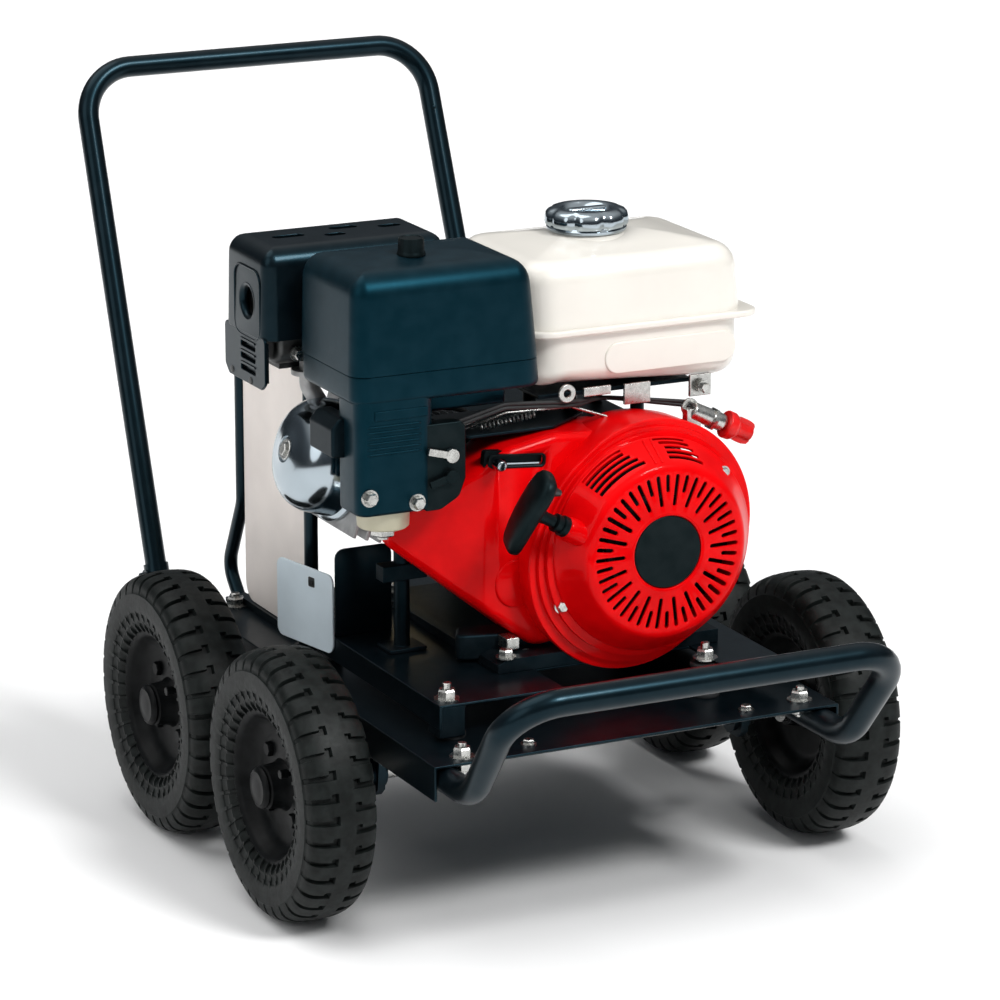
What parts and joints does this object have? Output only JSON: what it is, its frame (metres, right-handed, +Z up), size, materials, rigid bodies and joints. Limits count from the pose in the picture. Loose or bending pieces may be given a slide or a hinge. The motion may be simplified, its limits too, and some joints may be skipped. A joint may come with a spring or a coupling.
{
  "type": "pressure washer",
  "caption": "Petrol pressure washer: engine and high-pressure pump on a wheeled trolley with a bumper bar and a push handle.",
  "frame": {"origin": "on the floor, below the middle of the machine's length and width", "axes": "+Z up, -Y towards the bumper and the recoil starter, +X towards the fuel tank side"},
  "size_m": [0.656, 1.088, 0.7192],
  "materials": {
    "tyre_black": "matt",
    "rim_black": "satin",
    "mount_rubber": "matt",
    "zinc": "satin",
    "frame_black": "semi-gloss",
    "beige_paint": "matt",
    "pale_blue_paint": "satin",
    "block_black": "satin",
    "cast_alloy": "rough cast",
    "chrome": "polished",
    "black_plastic": "matt",
    "steel": "brushed",
    "red_paint": "gloss",
    "red_plastic": "gloss",
    "rope": "braided",
    "tank_white": "gloss",
    "cream_plastic": "satin",
    "cover_plastic": "satin",
    "brass": "machined"
  },
  "bodies": {
    "trolley": {"hub_cap_front_left": "rim_black", "hub_cap_front_right": "rim_black", "hub_cap_rear_left": "rim_black", "hub_cap_rear_right": "rim_black", "front_axle": "zinc", "rear_axle": "zinc", "chassis_tube": "frame_black", "chassis_tray": "frame_black", "engine_plate": "frame_black", "rubber_mount_front_left": "mount_rubber", "rubber_mount_front_right": "mount_rubber", "rubber_mount_rear_left": "mount_rubber", "rubber_mount_rear_right": "mount_rubber", "push_handle": "frame_black", "side_hoop": "frame_black", "side_panel": "beige_paint", "splash_plate": "pale_blue_paint", "upright_plate": "frame_black", "support_post": "block_black", "engine_block": "block_black", "cylinder_head": "cast_alloy", "rocker_cover": "chrome", "spark_plug_boot": "black_plastic", "fan_shroud": "red_paint", "recoil_cover": "red_paint", "recoil_centre_disc": "black_plastic", "fuel_tank": "tank_white", "tank_bracket": "block_black", "carburettor": "block_black", "float_bowl": "cream_plastic", "air_cleaner_cover": "cover_plastic", "air_cleaner_body": "cover_plastic", "muffler": "steel", "muffler_guard": "frame_black", "engine_switch_body": "black_plastic", "pump_crankcase": "cast_alloy", "pump_head": "brass", "water_inlet": "brass", "pressure_outlet": "zinc"},
    "wheel_front_left": {"tyre_front_left": "tyre_black", "rim_front_left": "rim_black"},
    "wheel_front_right": {"tyre_front_right": "tyre_black", "rim_front_right": "rim_black"},
    "wheel_rear_left": {"tyre_rear_left": "tyre_black", "rim_rear_left": "rim_black"},
    "wheel_rear_right": {"tyre_rear_right": "tyre_black", "rim_rear_right": "rim_black"},
    "crank": {"crankshaft": "steel", "flywheel": "cast_alloy"},
    "recoil_drum": {"recoil_pulley": "black_plastic"},
    "pull_grip": {"recoil_grip": "black_plastic", "recoil_rope": "rope"},
    "throttle": {"throttle_lever": "chrome"},
    "choke": {"choke_lever": "zinc"},
    "fuel_valve": {"fuel_valve_lever": "black_plastic"},
    "cap": {"fuel_cap": "chrome"},
    "cleaner_nut": {"air_cleaner_knob": "black_plastic"},
    "ignition": {"engine_switch_knob": "red_plastic"},
    "dipstick": {"oil_dipstick": "black_plastic"},
    "unloader": {"unloader_knob": "black_plastic"}
  },
  "joints": [
    {"name": "wheel_spin_front_left", "type": "hinge", "parent": "trolley", "child": "wheel_front_left", "pos_m": [-0.29, -0.21486, 0.135], "axis": [1, 0, 0], "continuous": true},
    {"name": "wheel_spin_front_right", "type": "hinge", "parent": "trolley", "child": "wheel_front_right", "pos_m": [0.29, -0.21486, 0.135], "axis": [1, 0, 0], "continuous": true},
    {"name": "wheel_spin_rear_left", "type": "hinge", "parent": "trolley", "child": "wheel_rear_left", "pos_m": [-0.29, 0.07314, 0.135], "axis": [1, 0, 0], "continuous": true},
    {"name": "wheel_spin_rear_right", "type": "hinge", "parent": "trolley", "child": "wheel_rear_right", "pos_m": [0.29, 0.07314, 0.135], "axis": [1, 0, 0], "continuous": true},
    {"name": "crank_spin", "type": "hinge", "parent": "trolley", "child": "crank", "pos_m": [0.068, -0.07086, 0.35], "axis": [0, 1, 0], "continuous": true},
    {"name": "recoil_drum_spin", "type": "hinge", "parent": "trolley", "child": "recoil_drum", "pos_m": [0.068, -0.07086, 0.35], "axis": [0, 1, 0], "range_deg": [0, 573]},
    {"name": "recoil_pull", "type": "slide", "parent": "trolley", "child": "pull_grip", "axis": [-0.8746, 0, 0.4848], "range_m": [0, 0.45], "stiffness_N_per_m": 40, "springref_m": -0.15},
    {"name": "throttle_turn", "type": "hinge", "parent": "trolley", "child": "throttle", "pos_m": [-0.058, -0.21386, 0.4415], "axis": [0, 0, 1], "range_deg": [0, 58]},
    {"name": "choke_turn", "type": "hinge", "parent": "trolley", "child": "choke", "pos_m": [-0.136, -0.25786, 0.457], "axis": [0, 1, 0], "range_deg": [0, 50]},
    {"name": "fuel_valve_turn", "type": "hinge", "parent": "trolley", "child": "fuel_valve", "pos_m": [-0.136, -0.25786, 0.436], "axis": [0, 1, 0], "range_deg": [-50, 0]},
    {"name": "fuel_cap_turn", "type": "hinge", "parent": "trolley", "child": "cap", "pos_m": [0.07, -0.13686, 0.645], "axis": [0, 0, 1], "range_deg": [0, 90]},
    {"name": "cleaner_nut_turn", "type": "hinge", "parent": "trolley", "child": "cleaner_nut", "pos_m": [-0.152, -0.20086, 0.65], "axis": [0, 0, 1], "continuous": true},
    {"name": "ignition_turn", "type": "hinge", "parent": "trolley", "child": "ignition", "pos_m": [0.146, -0.24286, 0.462], "axis": [0.9007, -0.06, -0.4303], "range_deg": [0, 60]},
    {"name": "dipstick_turn", "type": "hinge", "parent": "trolley", "child": "dipstick", "pos_m": [-0.03, -0.13086, 0.292], "axis": [1, 0, 0], "continuous": true},
    {"name": "unloader_turn", "type": "hinge", "parent": "trolley", "child": "unloader", "pos_m": [-0.024, 0.07414, 0.44], "axis": [0, 0, 1], "range_deg": [0, 1080]}
  ],
  "couplings": [
    {"joint": "recoil_drum_spin", "follows": "recoil_pull", "rad_per_m": 22.222}
  ]
}
